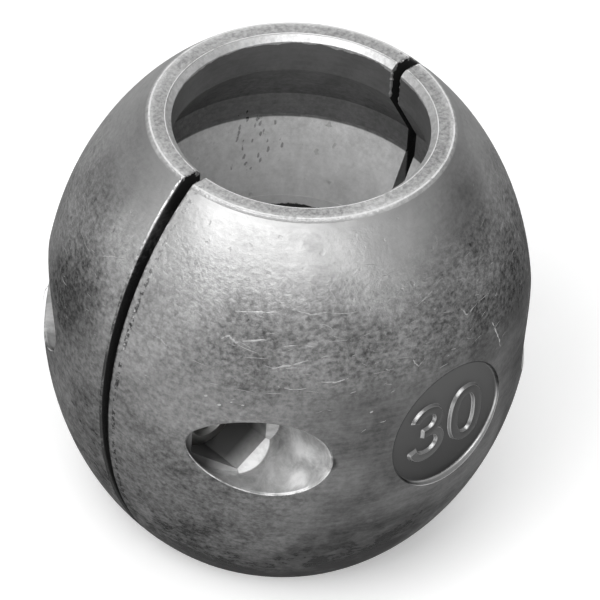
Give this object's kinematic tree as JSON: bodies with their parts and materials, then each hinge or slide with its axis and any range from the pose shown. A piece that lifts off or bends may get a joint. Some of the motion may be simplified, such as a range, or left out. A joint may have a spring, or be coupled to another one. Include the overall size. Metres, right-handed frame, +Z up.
{
  "type": "sacrificial anode",
  "caption": "Barrel-shaped zinc collar anode for a propeller shaft, split into half shells that cap screws and hex nuts, sunk in round pockets, draw together.",
  "frame": {"origin": "on the shaft axis, in the plane of the lower end ring", "axes": "+Z up along the shaft axis, -Y towards the half with the roundel, X across the two clamping screws"},
  "size_m": [0.057, 0.0562, 0.055],
  "materials": {
    "cast_zinc": "bare zinc as cast, satin, with fine pits and handling marks",
    "stainless_steel": "plain stainless steel"
  },
  "bodies": {
    "root": {"half_shell_front": "cast_zinc", "half_shell_rear": "cast_zinc", "cap_screw_left": "stainless_steel", "cap_screw_right": "stainless_steel", "hex_nut_left": "stainless_steel", "hex_nut_right": "stainless_steel"}
  },
  "joints": []
}
